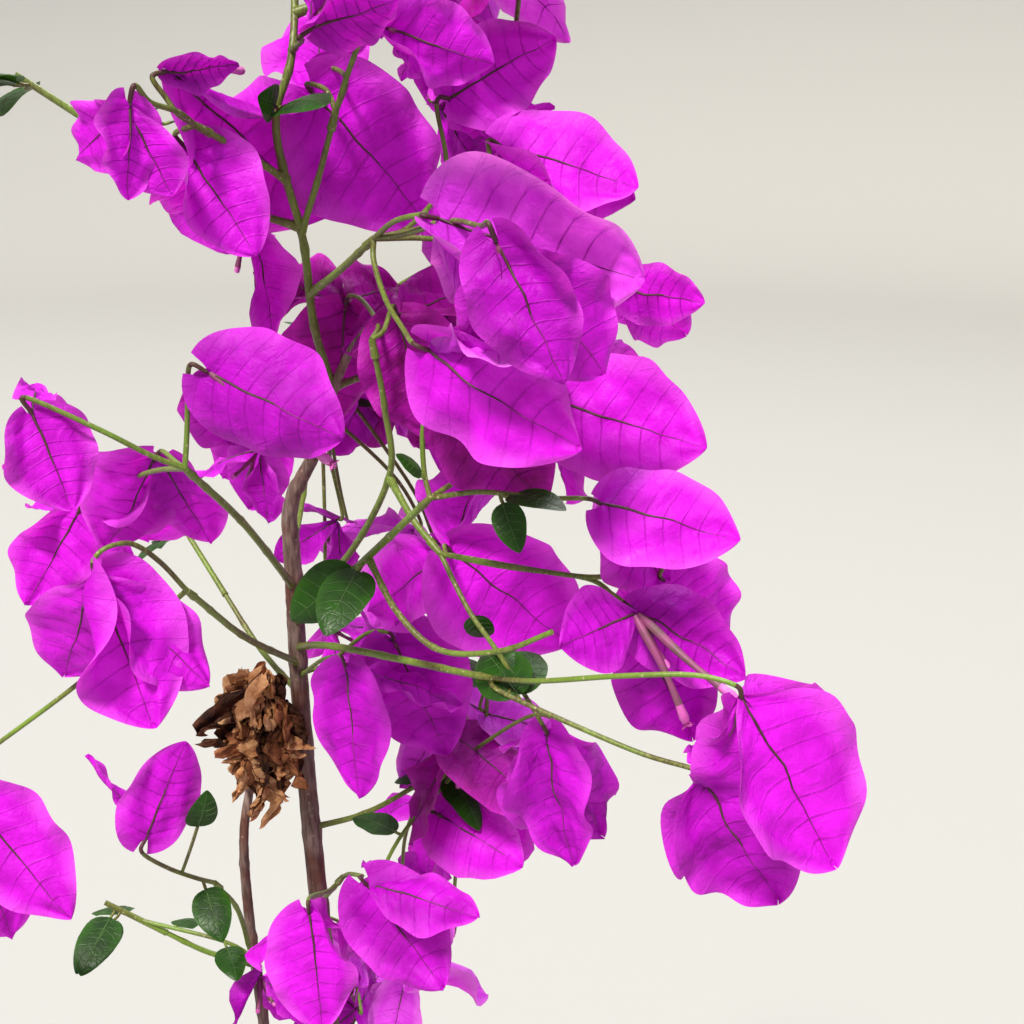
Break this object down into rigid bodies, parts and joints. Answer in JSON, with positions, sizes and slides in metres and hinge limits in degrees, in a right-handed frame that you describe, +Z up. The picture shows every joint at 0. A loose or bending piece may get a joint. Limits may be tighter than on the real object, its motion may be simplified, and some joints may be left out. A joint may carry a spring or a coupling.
{
  "type": "potted bougainvillea",
  "caption": "Young bougainvillea trained upright in a round plastic nursery pot, with a slender woody trunk and loose sprays of magenta papery bracts.",
  "frame": {"origin": "middle of the flat underside of the pot, on the line of the trunk's foot", "axes": "+Z up along the trunk, -Y towards the plant's front, +X to its right seen from the front"},
  "size_m": [0.2478, 0.2398, 1.1575],
  "materials": {
    "pot_plastic": "moulded black polypropylene with a soft sheen",
    "potting_mix": "crumbly bark and peat, matt",
    "woody_bark": "brown bark with fine pale ridges, matt",
    "green_bark": "smooth green young shoot, slightly waxy",
    "bracts_and_leaves": "thin papery magenta bracts with dark veins, and glossy dark green leaves",
    "withered_leaves": "dry crumpled brown leaves, matt"
  },
  "bodies": {
    "root": {"bough_01": "green_bark", "bough_02": "green_bark", "bough_03": "green_bark", "bough_04": "green_bark", "bough_05": "green_bark", "bough_06": "green_bark", "bough_07": "green_bark", "bough_08": "green_bark", "bough_09": "green_bark", "bough_10": "green_bark", "bough_11": "green_bark", "bough_12": "green_bark", "bough_13": "green_bark", "bough_cross": "green_bark", "bough_foot_left": "green_bark", "bough_foot_right": "green_bark", "bough_left": "green_bark", "bough_lower_left": "green_bark", "bough_lower_right": "green_bark", "bough_middle_right": "green_bark", "bough_riser": "green_bark", "bough_top": "green_bark", "bough_upper_left": "green_bark", "bough_upper_right": "green_bark", "cut_runner": "green_bark", "cut_spur": "woody_bark", "leader": "green_bark", "mass_01": "bracts_and_leaves", "mass_02": "bracts_and_leaves", "mass_03": "bracts_and_leaves", "mass_04": "bracts_and_leaves", "mass_05": "bracts_and_leaves", "mass_06": "bracts_and_leaves", "mass_07": "bracts_and_leaves", "mass_08": "bracts_and_leaves", "mass_09": "bracts_and_leaves", "mass_10": "bracts_and_leaves", "mass_11": "bracts_and_leaves", "mass_12": "bracts_and_leaves", "mass_13": "bracts_and_leaves", "mass_crown_top": "bracts_and_leaves", "mass_foot_left": "bracts_and_leaves", "mass_foot_right": "bracts_and_leaves", "mass_front": "bracts_and_leaves", "mass_leader_side": "bracts_and_leaves", "mass_leaf_pair": "bracts_and_leaves", "mass_left": "bracts_and_leaves", "mass_lower_left": "bracts_and_leaves", "mass_lower_right": "bracts_and_leaves", "mass_middle_right": "bracts_and_leaves", "mass_right": "bracts_and_leaves", "mass_riser": "bracts_and_leaves", "mass_top": "bracts_and_leaves", "mass_upper_left": "bracts_and_leaves", "mass_upper_right": "bracts_and_leaves", "pot": "pot_plastic", "potting_mix": "potting_mix", "side_stem": "woody_bark", "trunk": "woody_bark", "withered_clump": "withered_leaves"}
  },
  "joints": []
}
